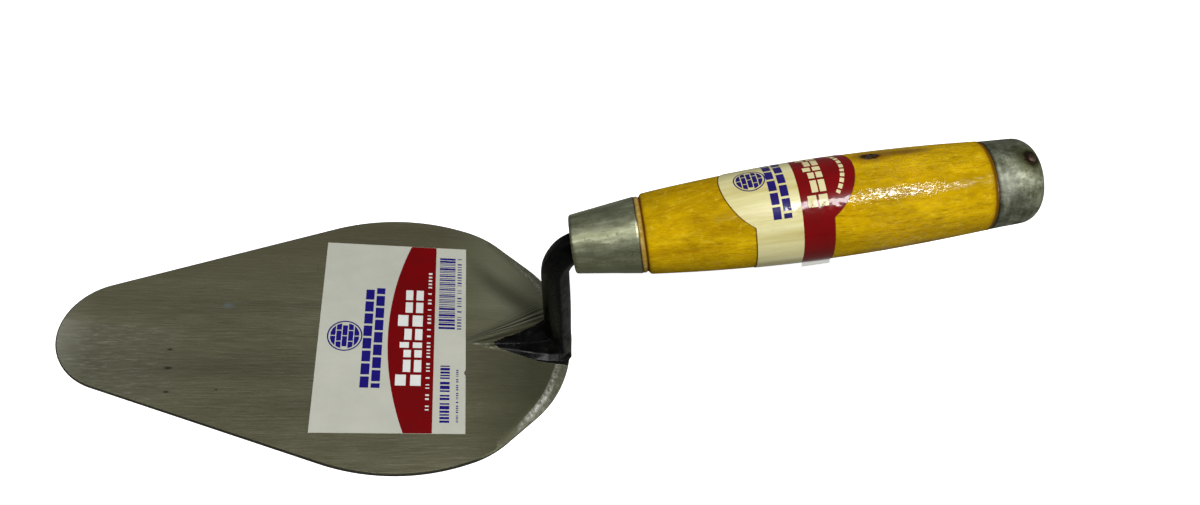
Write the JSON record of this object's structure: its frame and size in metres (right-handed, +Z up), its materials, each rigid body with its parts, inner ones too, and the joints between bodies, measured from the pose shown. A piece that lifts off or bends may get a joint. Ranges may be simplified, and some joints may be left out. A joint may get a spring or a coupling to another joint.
{
  "type": "brick trowel",
  "caption": "Pointed brick trowel with a forged steel blade, cranked shank, tapered metal ferrule, turned wooden handle and metal butt cap.",
  "frame": {"origin": "on the blade's flat underside, below the foot of the shank, in the trowel's plane of symmetry", "axes": "-X towards the blade's point, +X towards the handle's cap, +Y across the blade, +Z up out of the blade's upper face"},
  "size_m": [0.3092, 0.1048, 0.1228],
  "materials": {
    "forged_steel": "ground and brushed, root and shank black lacquered",
    "ferrule_metal": "satin",
    "handle_wood": "amber varnish, semi gloss",
    "cap_metal": "dull, handled",
    "nail_steel": "rusted",
    "blade_label_paper": "coated, semi gloss",
    "handle_label_film": "gloss"
  },
  "bodies": {
    "root": {"forged_blade": "forged_steel", "front_ferrule": "ferrule_metal", "wood_handle": "handle_wood", "butt_cap": "cap_metal", "cap_nail": "nail_steel", "blade_label": "blade_label_paper", "handle_label": "handle_label_film"}
  },
  "joints": []
}
